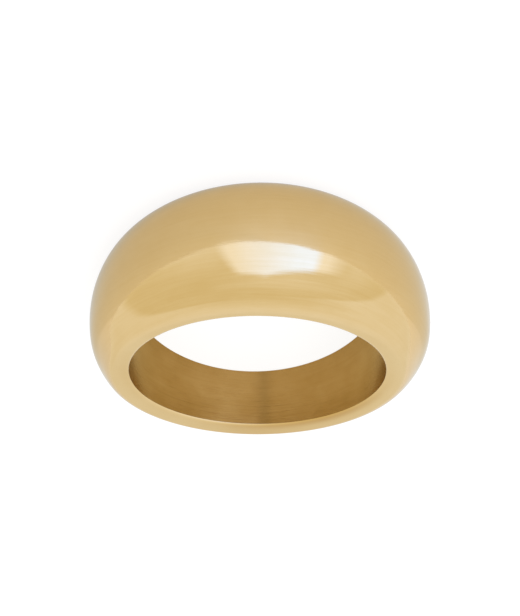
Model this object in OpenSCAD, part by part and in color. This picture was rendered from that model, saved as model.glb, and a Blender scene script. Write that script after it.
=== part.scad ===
// A plain dome ring in gold-coloured steel, all in one piece: broad and thick at the top of
// the dome, narrowing evenly to a slim shank. It lies on its side, on one of its two flat
// side walls. Millimetres. +Z is up, the dome faces -Y, and the origin is on the surface
// that it lies on, under the middle of the ring.

/* [Finger hole] */
// Inner diameter, which is the ring size
inner_diameter = 17.5; // [14:0.1:22]

/* [Width of the band, at the finger hole] */
// Width at the top of the dome
width_top = 9.7; // [6:0.1:12]
// Width at the bottom of the shank
width_bottom = 4.5; // [3.5:0.1:6]

/* [Thickness of the band] */
// Thickness at the top of the dome
thickness_top = 4; // [2.8:0.05:5.5]
// Thickness at the bottom of the shank
thickness_bottom = 2.2; // [1.8:0.05:2.8]
// Thickness half way round, on the -X side
thickness_minus_x = 2.85; // [2.2:0.05:3.6]
// Thickness half way round, on the +X side, where more has been polished away
thickness_plus_x = 2.6; // [2.2:0.05:3.6]

/* [Side walls] */
// Height of the flat side wall at the top of the dome
wall_top = 0.4; // [0.2:0.05:1.2]
// Height of the flat side wall at the bottom of the shank
wall_bottom = 1.5; // [0.6:0.05:1.6]

/* [Fineness] */
// Sections round the ring
sections = 120; // [48:4:132]
// Steps across each section, from one side wall to the other
steps = 28; // [12:2:36]

/* [Hidden] */

bore_r = inner_diameter / 2;
// The cutting shapes run this far past the band
past = 1;

// The width falls as the cosine of the angle from the top, so each side wall lies in one
// plane, and the two planes lean apart towards the dome
width_mean = (width_top + width_bottom) / 2;
width_swing = (width_top - width_bottom) / 2;
lean = atan(width_swing / 2 / bore_r);

// The four thicknesses, a quarter turn apart, are joined by one smooth wave
thickness_mean = (thickness_top + thickness_bottom + thickness_plus_x + thickness_minus_x) / 4;
thickness_swing = (thickness_top - thickness_bottom) / 2;
thickness_ends = (thickness_top + thickness_bottom - thickness_plus_x - thickness_minus_x) / 4;
thickness_sides = (thickness_plus_x - thickness_minus_x) / 2;

// Angle round the ring: 0 at the top of the dome, 90 on the +X side
function thickness(angle) = thickness_mean + thickness_swing * cos(angle)
    + thickness_ends * cos(2 * angle) + thickness_sides * sin(angle);
function wall(angle) = (wall_top + wall_bottom) / 2 + (wall_top - wall_bottom) / 2 * cos(angle);
function width(angle, r) = width_mean + width_swing * cos(angle) * r / bore_r;

// Angle across the section: -90 at the lower side wall, 90 at the upper one. The outside of
// each section is half an ellipse on top of the side walls. Its two end points stand a
// little proud of the side planes, which cut them off flat
proud = 0.02;
function dome_r(angle, across) =
    bore_r + wall(angle) + (thickness(angle) - wall(angle)) * cos(across);
function dome_point(angle, across) = let (r = dome_r(angle, across))
    [r * sin(angle), -r * cos(angle), width(angle, r) / 2 * sin(across)
        + (abs(across) == 90 ? proud * sign(across) : 0)];

rings = [for (i = [0 : sections - 1])
    [for (j = [0 : steps]) dome_point(360 * i / sections, 180 * j / steps - 90)]];
function at(i, j) = (i % sections) * (steps + 1) + j;
outside = [for (i = [0 : sections - 1]) for (j = [0 : steps - 1]) each
    [[at(i, j), at(i, j + 1), at(i + 1, j + 1)], [at(i, j), at(i + 1, j + 1), at(i + 1, j)]]];
lower_end = [for (i = [0 : sections - 1]) at(i, 0)];
upper_end = [for (i = [sections - 1 : -1 : 0]) at(i, steps)];

// Laid on its side the ring turns back by the lean, and its lower plane comes to z = 0
lift = width_mean / 2 * cos(lean);
widths = [for (ring = rings) for (p = ring) p.x];
depths = [for (ring = rings) for (p = ring) p.y * cos(lean) + p.z * sin(lean)];
function middle(values) = (min(values) + max(values)) / 2;

// The band before it is cut, with no hole in it yet
module blank() {
    points = [for (ring = rings) each ring];
    polyhedron(points, concat(outside, [lower_end, upper_end]), convexity = 4);
}

// All that lies between the two side planes
module between_sides() {
    front = -bore_r - thickness_top - past;
    back = bore_r + thickness_bottom + past;
    reach = 2 * back;
    function half(y) = width_mean / 2 - y * tan(lean);
    rotate([90, 0, 90])
    linear_extrude(height = 2 * reach, center = true)
    polygon([[front, -half(front)], [back, -half(back)], [back, half(back)], [front, half(front)]]);
}

module finger_hole() {
    cylinder(h = 2 * (width_top + past), r = bore_r, center = true, $fn = 180);
}

module band() {
    color([0.84, 0.70, 0.45])
    translate([-middle(widths), -middle(depths), lift])
    rotate([-lean, 0, 0])
    difference() {
        intersection() {
            blank();
            between_sides();
        }
        finger_hole();
    }
}

band();
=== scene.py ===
# %% [markdown]
# # A gold-coloured dome ring
# This lesson dresses one finger ring. The ring is steel with a thin gold-coloured plating,
# all in one piece. The packed CAD model gives its place and its size. Here the ring gets a
# finer, smoother skin, softened edges, the shallow flats that polishing leaves, and its two
# finishes. Blender counts in metres, so lengths in millimetres are written with MM.

import math

import bpy
from mathutils import Matrix, Vector


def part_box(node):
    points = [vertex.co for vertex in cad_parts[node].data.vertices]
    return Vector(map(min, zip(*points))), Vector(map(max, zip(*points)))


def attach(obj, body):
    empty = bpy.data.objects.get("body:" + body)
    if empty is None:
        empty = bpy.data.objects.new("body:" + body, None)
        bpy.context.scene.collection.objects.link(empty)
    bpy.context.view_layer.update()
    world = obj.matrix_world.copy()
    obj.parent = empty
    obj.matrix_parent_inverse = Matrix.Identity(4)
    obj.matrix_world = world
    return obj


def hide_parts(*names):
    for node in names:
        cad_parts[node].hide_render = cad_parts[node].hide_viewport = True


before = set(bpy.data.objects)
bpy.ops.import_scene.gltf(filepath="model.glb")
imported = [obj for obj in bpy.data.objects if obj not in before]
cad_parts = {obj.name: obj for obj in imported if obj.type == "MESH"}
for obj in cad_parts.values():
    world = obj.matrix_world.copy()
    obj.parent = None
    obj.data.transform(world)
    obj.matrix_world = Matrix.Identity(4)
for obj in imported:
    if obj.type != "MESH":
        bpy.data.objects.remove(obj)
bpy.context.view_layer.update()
MM = 0.001

# %% [markdown]
# ## The sizes of the band
# These are the CAD model's own sizes. Seen from the side the ring is a wedge: its width
# falls evenly from the dome to the shank, so that each side wall is one flat plane. The
# ring lies on its lower side wall, and the finger hole leans back by half the wedge's
# angle. The lean is worked out and not typed in, so it stays true if a width changes.

# %% Sizes
BORE_R = 17.5 / 2 * MM
WIDTH_TOP, WIDTH_BOTTOM = 9.7 * MM, 4.5 * MM
THICK_TOP, THICK_BOTTOM = 4.0 * MM, 2.2 * MM
THICK_PLUS_X, THICK_MINUS_X = 2.6 * MM, 2.85 * MM
WALL_TOP, WALL_BOTTOM = 0.4 * MM, 1.5 * MM

WIDTH_MEAN = (WIDTH_TOP + WIDTH_BOTTOM) / 2
WIDTH_SWING = (WIDTH_TOP - WIDTH_BOTTOM) / 2
LEAN = math.atan(WIDTH_SWING / 2 / BORE_R)
LIFT = WIDTH_MEAN / 2 * math.cos(LEAN)
print("the finger hole leans back by", round(math.degrees(LEAN), 2), "degrees")

# %% [markdown]
# ## Formulas as nodes
# The skin of the band follows a rule, so Geometry Nodes can make it, and one tree then
# serves any ring of this family. Written node by node such a rule is hard to read. This
# class wraps a socket, so that plus, minus and times on it each add one Math node, and the
# tree can be written the way the formula is on paper.

# %% A socket that can be used in formulas
class Field:
    """A socket of a node, with the sums that can be done on it."""

    def __init__(self, tree, socket):
        self.tree = tree
        self.socket = socket

    def math(self, operation, *others):
        """Adds one Math node, fed with this field and the others."""
        made = self.tree.nodes.new("ShaderNodeMath")
        made.operation = operation
        for socket, value in zip(made.inputs, (self, *others)):
            feed(self.tree, socket, value)
        return Field(self.tree, made.outputs[0])

    def __add__(self, other):
        return self.math("ADD", other)

    def __sub__(self, other):
        return self.math("SUBTRACT", other)

    def __mul__(self, other):
        return self.math("MULTIPLY", other)

    def __truediv__(self, other):
        return self.math("DIVIDE", other)

    def __rsub__(self, other):
        return self.math("MULTIPLY_ADD", -1.0, other)

    def sin(self):
        return self.math("SINE")

    def cos(self):
        return self.math("COSINE")

    def ramp(self, start, length):
        """0 before start, 1 from start + length on, and a straight slope between."""
        slope = (self - start) / length
        slope.socket.node.use_clamp = True
        return slope


print("a field can do", [name for name in vars(Field) if not name.startswith("__")])

# %% [markdown]
# ## Adding and feeding nodes
# Two steps come back in every node tree: a node is added with some of its settings, and a
# socket gets either a link or a plain value. Written out each time, they would hide what the
# tree does. So each has a helper, and the same helpers serve the shape, the finishes, the
# table and the light.

# %% Helpers for node trees
def feed(tree, socket, value):
    """Links a field to a socket, or sets the socket to a plain value."""
    if isinstance(value, Field):
        tree.links.new(value.socket, socket)
    else:
        socket.default_value = value


def add_node(tree, kind, inputs=None, **settings):
    """Adds a node. Its inputs go by socket name, its settings by property name."""
    made = tree.nodes.new(kind)
    for name, value in settings.items():
        setattr(made, name, value)
    for name, value in (inputs or {}).items():
        feed(tree, made.inputs[name], value)
    return made


def out(tree, made, name=0):
    """One output of a node as a field, by its name or by its place in the list."""
    return Field(tree, made.outputs[name])


def vector(tree, x, y, z):
    return out(tree, add_node(tree, "ShaderNodeCombineXYZ", {"X": x, "Y": y, "Z": z}))


def split(tree, value):
    """The X, Y and Z of a vector, as three fields."""
    made = add_node(tree, "ShaderNodeSeparateXYZ", {"Vector": value})
    return [out(tree, made, axis) for axis in "XYZ"]


print("node helpers:", [helper.__name__ for helper in (feed, add_node, out, vector, split)])

# %% [markdown]
# ## The way round a section
# The band is one sheet, bent round the ring and round its own section. The sheet starts as
# a flat grid. One side of the grid becomes the way round the ring. The other side runs up
# the finger hole, round the hole's upper edge, out along the upper side wall, over the dome,
# back along the lower side wall and round the lower edge. Each of these stretches has its
# share of the grid's steps, and a ramp says how far along it a point has come. The two
# edges are short but get many steps, because they are round and catch the light.
#
# The skin could also be the CAD mesh, subdivided, but that would keep the small facets of
# the solid and show them in the polish. A lathed ring would be equally wide all round. The
# rule is the simplest way to a clean skin.

# %% Stretches of the section
STRETCHES = {"hole": 24, "upper edge": 10, "upper wall": 3, "dome": 72,
             "lower wall": 3, "lower edge": 10}
SECTION_STEPS = sum(STRETCHES.values())
SECTIONS = 420


def way_round(step):
    """For each stretch, how far a point has come along it, from 0 to 1."""
    gone = {}
    first = 0
    for stretch, steps in STRETCHES.items():
        gone[stretch] = step.ramp(first, steps)
        first += steps
    return gone


print(SECTIONS, "sections of", SECTION_STEPS, "steps each")

# %% [markdown]
# ## The sizes round the ring
# Nothing on this ring changes suddenly. The width and the side wall swing from their value
# at the top to the one at the bottom by the cosine of the angle. The thickness is given in
# four places, a quarter turn apart, and one smooth wave passes through all four. All these
# sizes are inputs of the tree with names of their own, so another ring of this family needs
# other numbers and no other nodes.

# %% Inputs of the tree
SIZES = {
    "Bore Radius": BORE_R, "Width Top": WIDTH_TOP, "Width Bottom": WIDTH_BOTTOM,
    "Thickness Top": THICK_TOP, "Thickness Bottom": THICK_BOTTOM,
    "Thickness +X": THICK_PLUS_X, "Thickness -X": THICK_MINUS_X,
    "Wall Top": WALL_TOP, "Wall Bottom": WALL_BOTTOM,
    "Edge Share": 0.34, "Edge Slope": 0.18, "Flatness": 1.0, "Squareness": 0.18,
}


def swing(size, angle, top, bottom):
    """A size that swings from one value at the top of the dome to one at the bottom."""
    return (size[top] + size[bottom]) * 0.5 + (size[top] - size[bottom]) * 0.5 * angle.cos()


def thickness_at(size, angle):
    """The thickness of the band, as one wave through its four given values."""
    ends = size["Thickness Top"] + size["Thickness Bottom"]
    sides = size["Thickness +X"] + size["Thickness -X"]
    return (swing(size, angle, "Thickness Top", "Thickness Bottom")
            + (sides - ends) * 0.25
            + (ends - sides) * 0.25 * (angle * 2.0).cos()
            + (size["Thickness +X"] - size["Thickness -X"]) * 0.5 * angle.sin())


print("inputs of the tree:", ", ".join(SIZES))

# %% [markdown]
# ## Flats from polishing
# Such a ring is polished by hand against a wheel, and the wheel takes a little more off in
# one place than in another. The shallow flats that it leaves hardly show in the outline, but
# they bend the edge of every reflection. They could be sculpted with a brush. Here each is
# a bell with a middle, a reach and a depth, because such numbers can be set against the
# photo and changed one by one. A negative depth leaves the place a little proud.

# %% Flats
DEGREES = 180 / math.pi
# The middle is the angle round the ring in degrees, 0 at the top of the dome and 90 at +X,
# and the place across the band, 0 on the crest and 1 at the upper side wall. The reach says
# how far the flat spreads each way.
FLATS = [
    {"middle": (24, 0.63), "reach": (40, 0.30), "depth": 0.17 * MM},
    {"middle": (17, 0.30), "reach": (16, 0.25), "depth": 0.11 * MM},
    {"middle": (66, 0.99), "reach": (37, 0.30), "depth": 0.44 * MM},
    {"middle": (80, 0.53), "reach": (30, 0.36), "depth": -0.12 * MM},
    {"middle": (-80, 0.50), "reach": (30, 0.33), "depth": -0.12 * MM},
    {"middle": (-77, 1.00), "reach": (39, 0.30), "depth": 0.22 * MM},
    {"middle": (87, -0.05), "reach": (17, 0.7), "depth": -0.07 * MM},
    {"middle": (-87, -0.05), "reach": (17, 0.7), "depth": -0.09 * MM},
]


def bell(x, y, middle, reach):
    """1 at the middle and fading to 0 all round, over the two reaches."""
    a = (x - middle[0]) / reach[0]
    b = (y - middle[1]) / reach[1]
    return ((a * a + b * b) * -1.0).math("EXPONENT")


def polished_off(angle, across):
    """How much the wheel has taken off at a place."""
    total = 0.0
    for flat in FLATS:
        here = bell(angle * DEGREES, across, flat["middle"], flat["reach"])
        total = here * flat["depth"] + total
    return total


print("flats:", len(FLATS), "and the deepest is", max(f["depth"] for f in FLATS) / MM, "mm")

# %% [markdown]
# ## Shoulders
# Over the dome the section is half an ellipse: its height goes by a cosine and its radius
# by a sine. On the back half of the ring the photo's outline is fuller, because the
# shoulders are squarer there. A second section could be blended in, but a power of the sine
# does it with one number. At power 1 the section is the ellipse, and the lower the power
# is, the squarer the shoulders are. A smooth step turns the one into the other, so that no
# seam shows in the polish.

# %% Shoulders of the section
# They turn from round to square between these two angles from the top of the dome
ROUND_UNTIL, SQUARE_FROM = 84, 105


def shoulder_at(size, angle, dome_turn):
    """How far out a point of the dome stands: 0 at both side walls and 1 on the crest."""
    first = -math.cos(math.radians(ROUND_UNTIL))
    last = -math.cos(math.radians(SQUARE_FROM))
    back = (angle.cos() * -1.0).ramp(first, last - first)
    back = back * back * (3.0 - back * 2.0)
    return dome_turn.sin().math("POWER", 1.0 - back * size["Squareness"])


print("the shoulders are square from", SQUARE_FROM, "degrees on")

# %% [markdown]
# ## The place of each point
# Now the radius and the height of a point follow from the angle and the stretches. Both
# edges of the finger hole are rounded by a quarter turn, so that they catch a soft line of
# light as worn edges do. "Edge Share" is the share of the side wall that the rounding takes
# up, and "Edge Slope" says how deep it is for that length. A Bevel modifier could round
# them too, but its width wouldn't follow the side wall round the ring.
#
# The rows of points inside the hole are bunched at its two rims by a cosine. With even rows
# a long face would lie beside the short ones of the edge, and smooth shading would draw a
# dark line between them.

# %% Place of each point
def skin(tree, size, angle, gone):
    """The radius of each point, its place across the band, and where it goes."""
    upper_turn = gone["upper edge"] * (math.pi / 2)
    lower_turn = gone["lower edge"] * (math.pi / 2)
    dome_turn = gone["dome"] * math.pi
    across = dome_turn.cos() - 1.0 - (gone["hole"] * math.pi).cos()

    wall = swing(size, angle, "Wall Top", "Wall Bottom")
    edge = wall * size["Edge Share"]
    dome = thickness_at(size, angle) - wall - polished_off(angle, across) * size["Flatness"]
    r = (size["Bore Radius"]
         + edge * (1.0 - upper_turn.cos() - lower_turn.sin())
         + (wall - edge) * (gone["upper wall"] - gone["lower wall"])
         + dome * shoulder_at(size, angle, dome_turn))

    width = ((size["Width Top"] + size["Width Bottom"]) * 0.5
             + (size["Width Top"] - size["Width Bottom"]) * 0.5 * angle.cos()
             * r / size["Bore Radius"])
    drawn_in = edge * size["Edge Slope"] * (2.0 - upper_turn.sin() - lower_turn.cos())
    height = (width * 0.5 - drawn_in) * across
    return r, across, vector(tree, r * angle.sin(), r * angle.cos() * -1.0, height)


print("at the dome a rounded edge takes up", round(SIZES["Edge Share"] * WALL_TOP / MM, 3), "mm")

# %% [markdown]
# ## Marks for the finishes
# The lines of the polish run round the band, and the tones, the painted reflections, shade and
# highlight among them, go by place, so the materials need to know where on the band they are.
# Object coordinates alone can't tell them. The tree therefore writes it on the mesh: the angle and
# the place across as one UV map, the distance from the finger hole as another, and a mark on the
# faces that line the hole. UV maps are kept when the mesh is exported.

# %% Marks on the mesh
# Up to this share of the hole's stretch, a face lies in the hole
HOLE_END = 0.9999


def store(tree, mesh, name, value, domain, data_type):
    """Writes a value on the mesh under a name."""
    kept = add_node(tree, "GeometryNodeStoreNamedAttribute",
                    {"Geometry": mesh, "Name": name}, domain=domain, data_type=data_type)
    feed(tree, [s for s in kept.inputs if s.name == "Value" and s.enabled][0], value)
    return out(tree, kept)


def mark(tree, mesh, size, angle, gone, r, across):
    """Writes all three marks on the grid before it is bent."""
    polish = vector(tree, angle, across * size["Width Top"] * 0.5, 0.0)
    from_hole = vector(tree, r - size["Bore Radius"], 0.0, 0.0)
    in_hole = gone["hole"].math("LESS_THAN", HOLE_END)
    mesh = store(tree, mesh, "polish", polish, "CORNER", "FLOAT2")
    mesh = store(tree, mesh, "from_hole", from_hole, "CORNER", "FLOAT2")
    return store(tree, mesh, "hole", in_hole, "FACE", "BOOLEAN")


print("marks on the mesh: polish, from_hole, hole")

# %% [markdown]
# ## Closing the skin
# Once bent, the grid's first and last rows lie on each other, both ways. Merge by Distance
# joins them, so that the ring is one closed skin with no seam. Bent this way round the faces
# point into the metal, so Flip Faces turns them over: a renderer may not mind, but a printer
# and the export do. Then the hole gets its satin finish and the rest its polish.

# %% Close the skin and give it its finishes
MERGE_DISTANCE = 0.001 * MM


def close_skin(tree, mesh, place, outside, inside):
    """Bends the marked grid, closes it and gives it both finishes."""
    bent = add_node(tree, "GeometryNodeSetPosition", {"Geometry": mesh, "Position": place})
    closed = add_node(tree, "GeometryNodeMergeByDistance",
                      {"Geometry": out(tree, bent), "Distance": MERGE_DISTANCE})
    outward = add_node(tree, "GeometryNodeFlipFaces", {"Mesh": out(tree, closed)})
    smooth = add_node(tree, "GeometryNodeSetShadeSmooth", {"Geometry": out(tree, outward)})
    real = add_node(tree, "GeometryNodeRealizeInstances", {"Geometry": out(tree, smooth)})
    polished = add_node(tree, "GeometryNodeSetMaterial",
                        {"Geometry": out(tree, real), "Material": outside})
    hole = add_node(tree, "GeometryNodeInputNamedAttribute", {"Name": "hole"}, data_type="BOOLEAN")
    return add_node(tree, "GeometryNodeSetMaterial", {
        "Geometry": out(tree, polished), "Material": inside,
        "Selection": Field(tree, [s for s in hole.outputs if s.enabled][0])})


print("points closer than", MERGE_DISTANCE / MM, "mm are joined")

# %% [markdown]
# ## The tree
# The parts come together in one tree. Its inputs are made first, with the ring's own sizes as
# their defaults. A modifier knows an input by its identifier and not by its name, so the
# identifiers are handed back for later.

# %% The tree that makes the band
def band_inputs(tree):
    """Makes one input for each size, and hands back their identifiers."""
    identifiers = {}
    for name, value in SIZES.items():
        item = tree.interface.new_socket(name, in_out="INPUT", socket_type="NodeSocketFloat")
        item.default_value = value
        identifiers[name] = item.identifier
    return identifiers


def band_tree(outside, inside):
    """The whole tree, with the identifiers of its inputs."""
    tree = bpy.data.node_groups.new("dome_band", "GeometryNodeTree")
    identifiers = band_inputs(tree)
    tree.interface.new_socket("Geometry", in_out="OUTPUT", socket_type="NodeSocketGeometry")
    given = tree.nodes.new("NodeGroupInput")
    size = {name: out(tree, given, name) for name in SIZES}

    grid = add_node(tree, "GeometryNodeMeshGrid", {
        "Size X": 1.0, "Size Y": 1.0, "Vertices X": SECTIONS + 1, "Vertices Y": SECTION_STEPS + 1})
    x, y, _ = split(tree, out(tree, add_node(tree, "GeometryNodeInputPosition")))
    angle = x * math.tau
    gone = way_round((y + 0.5) * SECTION_STEPS)
    r, across, place = skin(tree, size, angle, gone)
    marked = mark(tree, out(tree, grid, "Mesh"), size, angle, gone, r, across)
    done = close_skin(tree, marked, place, outside, inside)
    group_out = tree.nodes.new("NodeGroupOutput")
    tree.links.new(done.outputs[0], group_out.inputs[0])
    print("the tree has", len(tree.nodes), "nodes and", len(identifiers), "inputs")
    return tree, identifiers


print("the tree is made together with the ring, once both finishes are there")

# %% [markdown]
# ## Tones round the ring
# The finish isn't one even colour. Some places are darker and deeper in colour and some are paler,
# and the photo shows a few such places, each with soft borders. In the finger hole and along its
# edge these tones are painted reflections and painted shade, put into the colour. A painted texture
# could hold them, but a handful of bells round the ring needs no picture and no resolution. Their
# sum is a level: 1 is the plain colour of the finish, less is deeper and more is paler.

# %% Bells for the tones
def fade(offset, reach):
    """1 where the offset is 0, fading to 0 on both sides over the reach."""
    share = offset / reach
    return (share * share * -1.0).math("EXPONENT")


def turn_bell(angle, middle, reach):
    """A bell round the ring, which closes on itself: 1 at the middle and 0 far from it."""
    away = (angle - math.radians(middle)).cos() - 1.0
    return (away * (2 / math.radians(reach) ** 2)).math("EXPONENT")


def tones(angle, spots):
    """The plain level of 1, raised or lowered by each spot."""
    level = 1.0
    for spot in spots:
        level = turn_bell(angle, spot["middle"], spot["reach"]) * spot["gain"] + level
    return level


print("at its reach a bell has faded to", round(math.exp(-1), 2))

# %% [markdown]
# ## Painted reflections in the finger hole
# The satin hole mirrors its light and dark surroundings, and these are painted into its colour as
# painted reflections and painted shade. In the photo it is paler towards both ends and near the
# back of the shank, and deeper in colour between, most of all near the rim on one side. One narrow
# grey stripe runs straight across it at the shank: a painted dark reflection band. It takes all
# three colours down alike, so it is kept apart from the level, as a grey.

# %% Painted reflections in the hole
# Painted reflections and shade: paler and deeper bands that the satin hole mirrors
# The middle and the reach are angles round the ring in degrees
HOLE_REFLECTION_TONES = [
    {"middle": 100, "reach": 16, "gain": 0.10},
    {"middle": 134, "reach": 26, "gain": -0.08},
    {"middle": 171, "reach": 11, "gain": 0.10},
    {"middle": 228, "reach": 45, "gain": -0.05},
    {"middle": 262, "reach": 16, "gain": 0.08},
]
# Painted shade and painted reflections near the rims of the hole
# Spots also have a place across the hole: 0 in the middle of its depth, 1 at the upper rim
HOLE_REFLECTION_SPOTS = [
    {"middle": (228, 0.9), "reach": (32, 0.55), "gain": -0.12},
    {"middle": (148, 0.9), "reach": (14, 0.5), "gain": -0.08},
    {"middle": (165, 1.0), "reach": (12, 0.4), "gain": 0.09},
    {"middle": (155, -0.3), "reach": (12, 0.5), "gain": 0.05},
]
# A painted dark reflection band across the hole, at the shank
DARK_REFLECTION_STRIPE = {"middle": 187, "reach": 3.5, "gain": -0.15}


def hole_painted_reflections(at):
    """The level of the painted reflections and shade in the finger hole, and how grey it is."""
    level = tones(at["angle"], HOLE_REFLECTION_TONES)
    for spot in HOLE_REFLECTION_SPOTS:
        place = turn_bell(at["angle"], spot["middle"][0], spot["reach"][0])
        place = place * fade(at["across"] - spot["middle"][1], spot["reach"][1])
        level = place * spot["gain"] + level
    return level, tones(at["angle"], [DARK_REFLECTION_STRIPE])


print("in the hole:", len(HOLE_REFLECTION_TONES), "tones,", len(HOLE_REFLECTION_SPOTS), "spots and one dull stripe")

# %% [markdown]
# ## Tones and painted light on the outside
# Outside, the shank is a little deeper in colour than the dome. Its side wall has a band close to
# the finger hole that is deeper still, on one side of the shank: painted shade where the rounded
# edge turns into the hole. Along a short length of the hole's edge a line as thin as a hair is
# brighter: a painted highlight, where the worn, rounded edge catches the light. Strips of mesh with
# colours of their own could show both, but their borders would be hard. Both are bells that go by
# the distance from the hole, which the tree has written on the mesh.

# %% Tones and painted light on the outside
OUTSIDE_TONES = [
    {"middle": 98, "reach": 25, "gain": -0.015},
    {"middle": 148, "reach": 20, "gain": -0.02},
    {"middle": 182, "reach": 16, "gain": -0.075},
    {"middle": 205, "reach": 45, "gain": -0.065},
    {"middle": 262, "reach": 25, "gain": 0.025},
]
# The painted shade on the side wall, close to the hole
RIM_SHADE_TONES = [
    {"middle": 220, "reach": 38, "gain": -0.23},
    {"middle": 105, "reach": 28, "gain": -0.05},
]
RIM_MIDDLE, RIM_WIDTH = 0.24 * MM, 0.46 * MM
# The bright line along the edge of the hole: a painted highlight
PAINTED_EDGE_HIGHLIGHT = {"middle": 171, "reach": 27, "gain": 0.27}
PAINTED_EDGE_HIGHLIGHT_WIDTH = 0.12 * MM
NO_GREY = 1.0


def outside_tones_and_painted_light(at):
    """The level on the outside, with painted shade and a painted highlight near the hole, where
    nothing has turned grey.
    """
    # Painted shade on the side wall near the hole
    rim = (tones(at["angle"], RIM_SHADE_TONES) - 1.0) * fade(at["from_hole"] - RIM_MIDDLE, RIM_WIDTH)
    # A painted highlight along the edge of the hole
    edge_highlight = turn_bell(at["angle"], PAINTED_EDGE_HIGHLIGHT["middle"], PAINTED_EDGE_HIGHLIGHT["reach"])
    edge_highlight = edge_highlight * fade(at["from_hole"], PAINTED_EDGE_HIGHLIGHT_WIDTH)
    return rim + edge_highlight * PAINTED_EDGE_HIGHLIGHT["gain"] + tones(at["angle"], OUTSIDE_TONES), NO_GREY


print("outside:", len(OUTSIDE_TONES), "tones,", len(RIM_SHADE_TONES), "along the rim and one bright line")

# %% [markdown]
# ## Lines of the polishing wheel
# A wheel that ran round the band has left very fine lines. Real ones are far finer than any
# mesh, so they are bump: noise that is stretched round the ring and squeezed across it. In
# the photo they are strongest in front, between the crest and the side wall.

# %% Fine lines
LINE_RUN = 4.5 * MM
LINE_DETAIL, LINE_ROUGHNESS = 4.0, 0.65
LINES_BASE = 0.4
LINES_FRONT = {"middle": (-5, 0.8), "reach": (45, 0.35), "gain": 0.4}


def fine_lines(tree, x, y, along, pitch):
    """Lines from -0.5 to 0.5 in height, as a field."""
    stretched = vector(tree, x / LINE_RUN, y / LINE_RUN, along / pitch)
    noise = add_node(tree, "ShaderNodeTexNoise", {
        "Vector": stretched, "Scale": 1.0, "Detail": LINE_DETAIL, "Roughness": LINE_ROUGHNESS})
    return out(tree, noise) - 0.5


def outside_lines(at):
    """How strong the lines are on the outside."""
    front = bell(at["angle"] * DEGREES, at["across"], LINES_FRONT["middle"], LINES_FRONT["reach"])
    return front * LINES_FRONT["gain"] + LINES_BASE


print("a line keeps its height for about", LINE_RUN / MM, "mm")

# %% [markdown]
# ## The two finishes
# The plating is thin, hard and gold in colour. Outside it is polished to a soft mirror. Inside the
# hole the surface is satin, and its lines are broader and deeper. Its colour is deeper too: painted
# shade, for the shaded table deep in the hole, which the satin mirrors. They could be two
# materials, built one after the other, but both are the same kind of metal, so one function makes
# both from a list of numbers. The edge colour is what the metal turns to where it is seen at a low
# angle. The deepening gives red, green and blue a power each: where the level falls, blue falls
# most, so the metal gets warmer as it gets darker, as plating does.

# %% Numbers of the two finishes
POLISHED = {
    "colour": (0.640, 0.446, 0.194, 1.0), "edge": (0.90, 0.94, 0.95, 1.0),
    "deepening": (0.85, 1.4, 3.0), "roughness": 0.07,
    "line depth": 0.006 * MM, "line pitch": 0.15 * MM, "line tone": 0.18, "patch tone": 0.05,
}
SATIN = {
    # Darkened colour: painted shade for the shaded table that the hole mirrors
    "colour": (0.494, 0.291, 0.086, 1.0), "edge": (0.80, 0.77, 0.60, 1.0),
    "deepening": (1.0, 1.4, 2.6), "roughness": 0.26,
    "line depth": 0.018 * MM, "line pitch": 0.22 * MM, "line tone": 0.20, "patch tone": 0.22,
}
# A line changes the roughness by this share of its height
LINE_DULLING = 0.05
# Small patches where the plating took a little better or worse
PATCH_SIZE = 1.5 * MM
PATCH_DETAIL, PATCH_ROUGHNESS = 2.0, 0.55
print("roughness outside and in the hole:", POLISHED["roughness"], SATIN["roughness"])

# %% [markdown]
# ## Making a finish
# A finish could be painted as a picture, but a picture has a resolution and needs a file.
# This material is worked out from the ring's own coordinates and its two UV maps, and never
# from where the camera stands, so nothing slides when the view changes. The fine lines come
# first, since they move the bump, the roughness and the tone together, as on real metal.
# Then the tones, with their painted reflections, painted shade and painted highlight, and the
# patches give the level, and the level tints the colour.

# %% Make both finishes
def colour_from(tree, shader, finish, level, grey):
    """Tints the plain colour by the level, each channel by a power of its own."""
    channels = [level.math("POWER", power) * grey for power in finish["deepening"]]
    tint = add_node(tree, "ShaderNodeMix", data_type="RGBA", blend_type="MULTIPLY")
    tint.inputs["Factor"].default_value = 1.0
    tint.inputs[6].default_value = finish["colour"]
    feed(tree, tint.inputs[7], vector(tree, *channels))
    tree.links.new(tint.outputs[2], shader.inputs["Base Color"])


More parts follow.
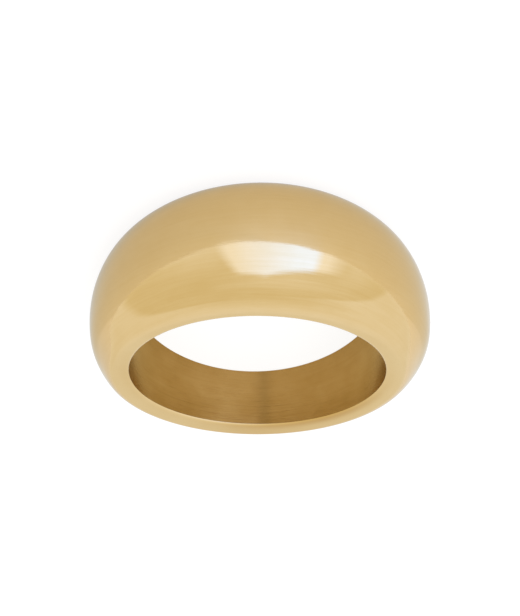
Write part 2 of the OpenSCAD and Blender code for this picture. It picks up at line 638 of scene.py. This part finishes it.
def plating(name, finish, tones_and_painted_light, line_strength=None):
    """One finish. Without a line strength its lines are equally strong everywhere."""
    material = bpy.data.materials.new(name)
    material.use_nodes = True
    tree = material.node_tree
    shader = tree.nodes["Principled BSDF"]
    shader.inputs["Metallic"].default_value = 1.0
    shader.inputs["Specular Tint"].default_value = finish["edge"]

    own = out(tree, add_node(tree, "ShaderNodeTexCoord"), "Object")
    x, y, _ = split(tree, own)
    angle, along, _ = split(tree, out(tree, add_node(tree, "ShaderNodeUVMap", uv_map="polish")))
    from_hole, _, _ = split(tree, out(tree, add_node(tree, "ShaderNodeUVMap", uv_map="from_hole")))
    at = {"angle": angle, "across": along * (2 / WIDTH_TOP), "from_hole": from_hole}

    line = fine_lines(tree, x, y, along, finish["line pitch"])
    if line_strength:
        line = line * line_strength(at)
    bump = add_node(tree, "ShaderNodeBump", {
        "Height": line, "Strength": 1.0, "Distance": finish["line depth"]})
    tree.links.new(bump.outputs[0], shader.inputs["Normal"])
    feed(tree, shader.inputs["Roughness"], line * LINE_DULLING + finish["roughness"])

    # The level carries the tones and the painted reflections, shade and highlight
    level, grey = tones_and_painted_light(at)
    patch = out(tree, add_node(tree, "ShaderNodeTexNoise", {
        "Vector": own, "Scale": 1 / PATCH_SIZE, "Detail": PATCH_DETAIL,
        "Roughness": PATCH_ROUGHNESS}))
    level = line * finish["line tone"] + (patch - 0.5) * finish["patch tone"] + level
    colour_from(tree, shader, finish, level, grey)
    return material


outside = plating("gold_plating_polished", POLISHED, outside_tones_and_painted_light, outside_lines)
inside = plating("gold_plating_satin", SATIN, hole_painted_reflections)
print("finishes:", outside.name, "and", inside.name)

# %% [markdown]
# ## The ring itself
# The tree runs in a modifier on an empty mesh. The modifier's inputs are set before it is
# first evaluated, or the ring would come out with old values. The result becomes a plain
# mesh of its own, and the object with the modifier goes, because the export can only carry
# plain meshes.

# %% Make the ring
def make_ring():
    """Runs the tree once and hands back the ring as a plain mesh object."""
    tree, identifiers = band_tree(outside, inside)
    maker = bpy.data.objects.new("ring_maker", bpy.data.meshes.new("ring_maker"))
    bpy.context.scene.collection.objects.link(maker)
    rule = maker.modifiers.new("rule", "NODES")
    rule.node_group = tree
    for name, value in SIZES.items():
        rule[identifiers[name]] = value
    depsgraph = bpy.context.evaluated_depsgraph_get()
    mesh = bpy.data.meshes.new_from_object(maker.evaluated_get(depsgraph))
    bpy.data.objects.remove(maker)
    mesh.name = "ring_band"
    piece = bpy.data.objects.new("ring_band", mesh)
    bpy.context.scene.collection.objects.link(piece)
    return piece


ring = make_ring()
print("ring faces:", len(ring.data.polygons))

# %% [markdown] ## Laying it down The mesh is turned by the lean and moved, and the object
# stays at the origin, unturned, so that the finish doesn't slide over it. From side to side
# the ring is centred on the CAD model's box. From front to back it goes by the front of the
# dome, because its squarer shoulders at the back would otherwise push it forward. Its
# height is that of the hole's middle over the table.

# %% Lay the ring down
ring.data.transform(Matrix.Rotation(-LEAN, 4, "X"))
places = [v.co for v in ring.data.vertices]
own_low, own_high = [[pick(p[i] for p in places) for i in range(3)] for pick in (min, max)]
cad_low, cad_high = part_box("band")
hole_centre = Vector((
    (cad_low[0] + cad_high[0] - own_low[0] - own_high[0]) / 2,
    cad_low[1] - own_low[1],
    LIFT))
ring.data.transform(Matrix.Translation(hole_centre))
print("hole centre in mm:", [round(c / MM, 3) for c in hole_centre])

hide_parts("band")
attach(ring, "root")

# %% [markdown]
# ## What the polish shows of the table
# In the photo the table is blown out to white, but the polish mirrors it as a light grey.
# One plain surface can't be both, so the Light Path node tells the rays of the camera from
# the mirrored ones, and each has its own share of glow. The reflections at both ends of the
# ring also show that the table isn't evenly lit. It darkens a little to one side, and it is
# lighter and cooler in a wedge behind the ring.

# %% Tones of the table
TABLE_GREY = (0.40, 0.385, 0.36)
TABLE_GLOW = 0.43
# What the camera sees has more glow, and less of the grey that a shadow shows on
CAMERA_GLOW = 0.41
CAMERA_GREY = 0.45
# The table darkens towards +X, from the middle of the ring on
DIM_SHARE = 0.08
DIM_LENGTH = 16 * MM
# It is lighter and a little cooler behind the ring, from this far back on
BACK_SHARE = 0.10
BACK_COOL = (0.0, 0.02, 0.16)
BACK_START, BACK_LENGTH = 10 * MM, 7 * MM
# The sides of the wedge run back by the slant for each step out, and by the skew more at +X
WEDGE_SLANT, WEDGE_SKEW = 0.45, 0.07
WEDGE_START, WEDGE_LENGTH = 2 * MM, 5 * MM


def table_tones(tree, seen):
    """How light the table is, and how much of that is the wedge behind the ring."""
    x, y, _ = split(tree, out(tree, add_node(tree, "ShaderNodeTexCoord"), "Object"))
    mirrored = 1.0 - seen
    dim = x.ramp(0.0, DIM_LENGTH) * mirrored
    inward = y - x.math("ABSOLUTE") * WEDGE_SLANT - x * WEDGE_SKEW
    back = y.ramp(BACK_START, BACK_LENGTH) * inward.ramp(WEDGE_START, WEDGE_LENGTH) * mirrored
    return 1.0 - dim * DIM_SHARE + back * BACK_SHARE, back


print("behind the ring the polish sees a table", BACK_SHARE * 100, "percent lighter")

# %% [markdown] ## The table The table is a plain pale square, wide enough that its far edge
# is at the horizon in the polish. A backdrop that curves up behind the ring is common too,
# but the polish would show its bend. Part of the table's light is its own glow. The rest
# comes from the room and the sun, so the ring still leaves a faint shadow under it.

# %% Table
TABLE_SIZE = 6.0
TABLE_ROUGHNESS, TABLE_GLOSS = 0.45, 0.2


def table_material():
    material = bpy.data.materials.new("pale_table")
    material.use_nodes = True
    tree = material.node_tree
    shader = tree.nodes["Principled BSDF"]
    seen = out(tree, add_node(tree, "ShaderNodeLightPath"), "Is Camera Ray")
    light, back = table_tones(tree, seen)
    grey = light * (1.0 - seen * (1 - CAMERA_GREY))
    feed(tree, shader.inputs["Base Color"], vector(tree, *[grey * level for level in TABLE_GREY]))
    feed(tree, shader.inputs["Emission Color"],
         vector(tree, *[back * cool + 1.0 for cool in BACK_COOL]))
    feed(tree, shader.inputs["Emission Strength"], light * TABLE_GLOW + seen * CAMERA_GLOW)
    shader.inputs["Roughness"].default_value = TABLE_ROUGHNESS
    shader.inputs["Specular IOR Level"].default_value = TABLE_GLOSS
    return material


half = TABLE_SIZE / 2
table_mesh = bpy.data.meshes.new("table")
table_mesh.from_pydata([(-half, -half, 0), (half, -half, 0), (half, half, 0), (-half, half, 0)],
                       [], [(0, 1, 2, 3)])
table_mesh.materials.append(table_material())
table = bpy.data.objects.new("table", table_mesh)
bpy.context.scene.collection.objects.link(table)
print("table:", TABLE_SIZE, "m wide")

# %% [markdown]
# ## The room
# Polished metal shows its surroundings and little else, so the light is built for the
# reflections. The room is drawn in the world's nodes, by direction: an azimuth, 0 in front
# of the dome and growing towards +X, and a height over the horizon. Behind the ring stand
# white walls. The front and the ceiling are slightly darker. Between them lie a few soft
# glows and shadows, and one thin bright line along the horizon. Real walls with lamps could
# do the same, but each edge would take a lamp or a card of its own. The darker a part of
# the room is, the warmer it is.

# %% Walls and glows
ROOM_LEVEL = 0.92
WALL_GAIN = 0.12
# The azimuth where each wall starts, and the degrees over which it comes up, with a minus
# sign where it comes up the other way. The ceiling goes by the height instead.
LEFT_WALL, RIGHT_WALL = (-85, -5), (101, 8)
RIGHT_WALL_SLOPE = 0.3
CEILING = (42, 46)
# The middle and the reach of each glow are an azimuth and a height
GLOWS = [
    {"middle": (-18, 46), "reach": (55, 19), "gain": 0.10},
    {"middle": (45, 3), "reach": (24, 14), "gain": 0.085},
    {"middle": (0, 0), "reach": (95, 3), "gain": 0.07},
    {"middle": (-62, 8), "reach": (14, 18), "gain": 0.085},
    {"middle": (55, 40), "reach": (35, 14), "gain": -0.03},
    {"middle": (135, 22), "reach": (25, 25), "gain": -0.025},
    {"middle": (180, 6), "reach": (45, 9), "gain": -0.06},
    {"middle": (-180, 6), "reach": (45, 9), "gain": -0.06},
]
# Red, green and blue follow the level by these powers, and white paint looks this cool
WARMTH = (1.0, 1.5, 3.3)
WHITE = (1.14, 1.19, 1.27)


def room_colour(tree, azimuth, height):
    """The colour of the bare room in one direction."""
    left_wall = azimuth.ramp(*LEFT_WALL)
    right_wall = (azimuth - height * RIGHT_WALL_SLOPE).ramp(*RIGHT_WALL)
    below_ceiling = 1.0 - height.ramp(*CEILING)
    level = left_wall.math("MAXIMUM", right_wall) * below_ceiling * WALL_GAIN + ROOM_LEVEL
    for glow in GLOWS:
        level = bell(azimuth, height, glow["middle"], glow["reach"]) * glow["gain"] + level
    return vector(tree, *[level.math("POWER", power) * white
                          for power, white in zip(WARMTH, WHITE)])


print("room level:", ROOM_LEVEL, "and walls:", round(ROOM_LEVEL + WALL_GAIN, 2))

# %% [markdown]
# ## The softbox
# One light makes the bright streak on the dome: a cool softbox in front, which stands on the
# horizon and has a top like a low roof. An area lamp would give it hard edges, and real cloth
# fades out. So it is drawn in the room too, as ramps that are multiplied: one for each side
# and one for the top. Its core is brighter and cooler than its borders.

# %% Softbox
# Where each border starts, and the degrees over which the cloth comes up from there
CLOTH_LEFT, CLOTH_RIGHT, CLOTH_TOP = (-55, 14), (34, -6), (42, -8)
# The right border leans with the height, and the top falls off on both sides of a ridge
RIGHT_SLOPE, TOP_SLOPE, RIDGE = 0.25, 0.35, 2
CORE_LEFT, CORE_RIGHT = (-38, 6), (25, -45)
CLOTH_COLOUR = (1.24, 1.37, 1.85)
CORE_COLOUR = (1.25, 1.72, 3.56)


def by_white(colour):
    """A light colour as the white of the room shows it, with full alpha."""
    return (*[level * white for level, white in zip(colour, WHITE)], 1.0)


def colour_mix(tree, factor, first, second):
    """The first colour at factor 0, the second at factor 1."""
    made = add_node(tree, "ShaderNodeMix", {"Factor": factor}, data_type="RGBA")
    feed(tree, made.inputs[6], first)
    feed(tree, made.inputs[7], second)
    return out(tree, made, 2)


def with_softbox(tree, azimuth, height, room):
    """The room with the softbox in front of it."""
    top = (height + (azimuth - RIDGE).math("ABSOLUTE") * TOP_SLOPE).ramp(*CLOTH_TOP)
    right = (azimuth + height * RIGHT_SLOPE).ramp(*CLOTH_RIGHT)
    cloth = azimuth.ramp(*CLOTH_LEFT) * top * right
    core = azimuth.ramp(*CORE_LEFT) * azimuth.ramp(*CORE_RIGHT)
    softbox = colour_mix(tree, core, by_white(CLOTH_COLOUR), by_white(CORE_COLOUR))
    return colour_mix(tree, cloth, room, softbox)


print("the softbox spans", CLOTH_RIGHT[0] - CLOTH_LEFT[0], "degrees")

# %% [markdown]
# ## Room and sun
# The world's Generated coordinate is the direction of a ray, and its three numbers give the
# azimuth and the height. The only lamp is a wide soft sun from above, off to one side. A
# small lamp would throw a hard shadow, which the photo doesn't have. The sun lights the
# table and isn't seen in the metal, which has the softbox already.

# %% Room and sun
SUN_AZIMUTH, SUN_ELEVATION, SUN_WIDTH = -35, 55, 40
SUN_ENERGY = 1.0


def make_room():
    world = bpy.data.worlds.new("room")
    bpy.context.scene.world = world
    world.use_nodes = True
    tree = world.node_tree
    x, y, z = split(tree, out(tree, add_node(tree, "ShaderNodeTexCoord"), "Generated"))
    azimuth = x.math("ARCTAN2", y * -1.0) * DEGREES
    height = z.math("ARCSINE") * DEGREES
    light = with_softbox(tree, azimuth, height, room_colour(tree, azimuth, height))
    feed(tree, tree.nodes["Background"].inputs["Color"], light)


def sphere_point(azimuth, elevation):
    """The direction with this azimuth and elevation, both in degrees."""
    a, e = math.radians(azimuth), math.radians(elevation)
    return Vector((math.sin(a) * math.cos(e), -math.cos(a) * math.cos(e), math.sin(e)))


make_room()
sun = bpy.data.objects.new("sun", bpy.data.lights.new("sun", "SUN"))
sun.data.energy = SUN_ENERGY
sun.data.angle = math.radians(SUN_WIDTH)
sun.location = sphere_point(SUN_AZIMUTH, SUN_ELEVATION)
sun.rotation_mode = "QUATERNION"
sun.rotation_quaternion = (-sun.location).to_track_quat("-Z", "Y")
sun.visible_glossy = False
bpy.context.scene.collection.objects.link(sun)
print("room and sun are lit")

# %% [markdown]
# ## Camera
# The photo was taken from far off with a long lens, so the ring hardly narrows towards the
# back. A camera on the ring's own axis would be simpler, but the photo looks at it from in
# front and above. The camera's place is given round the middle of the finger hole, and its
# aim is moved by a little over a millimetre to frame the ring as in the photo. The picture
# is turned half round, so that the dome, which faces the camera as the ring lies, is at the
# top of the frame.

# %% Camera
CAMERA_AZIMUTH, CAMERA_ELEVATION, CAMERA_TURN = 4.78, 41.91, 178.58
CAMERA_DISTANCE = 409.6 * MM
CAMERA_LENS = 350.65
CLIP_NEAR, CLIP_FAR = 0.01, 20.0
# The middle of the picture from the middle of the hole, as seen in the picture
MIDDLE_RIGHT, MIDDLE_UP = 0.201 * MM, 1.368 * MM


def make_camera():
    data = bpy.data.cameras.new("camera")
    data.lens = CAMERA_LENS
    data.clip_start, data.clip_end = CLIP_NEAR, CLIP_FAR
    camera = bpy.data.objects.new("camera", data)
    bpy.context.scene.collection.objects.link(camera)
    towards_camera = sphere_point(CAMERA_AZIMUTH, CAMERA_ELEVATION)
    turn = Matrix.Rotation(math.radians(CAMERA_TURN), 3, "Z")
    facing = (-towards_camera).to_track_quat("-Z", "Y").to_matrix() @ turn
    middle = hole_centre + facing @ Vector((MIDDLE_RIGHT, MIDDLE_UP, 0))
    camera.location = hole_centre + towards_camera * CAMERA_DISTANCE
    aimed = (middle - camera.location).normalized()
    level = aimed.to_track_quat("-Z", "Y").to_matrix()
    camera.rotation_mode = "QUATERNION"
    camera.rotation_quaternion = (level @ turn).to_quaternion()
    bpy.context.scene.camera = camera


make_camera()
bpy.context.scene.view_settings.view_transform = "Standard"
print("camera set", CAMERA_DISTANCE / MM, "mm from the finger hole")

# %% [markdown]
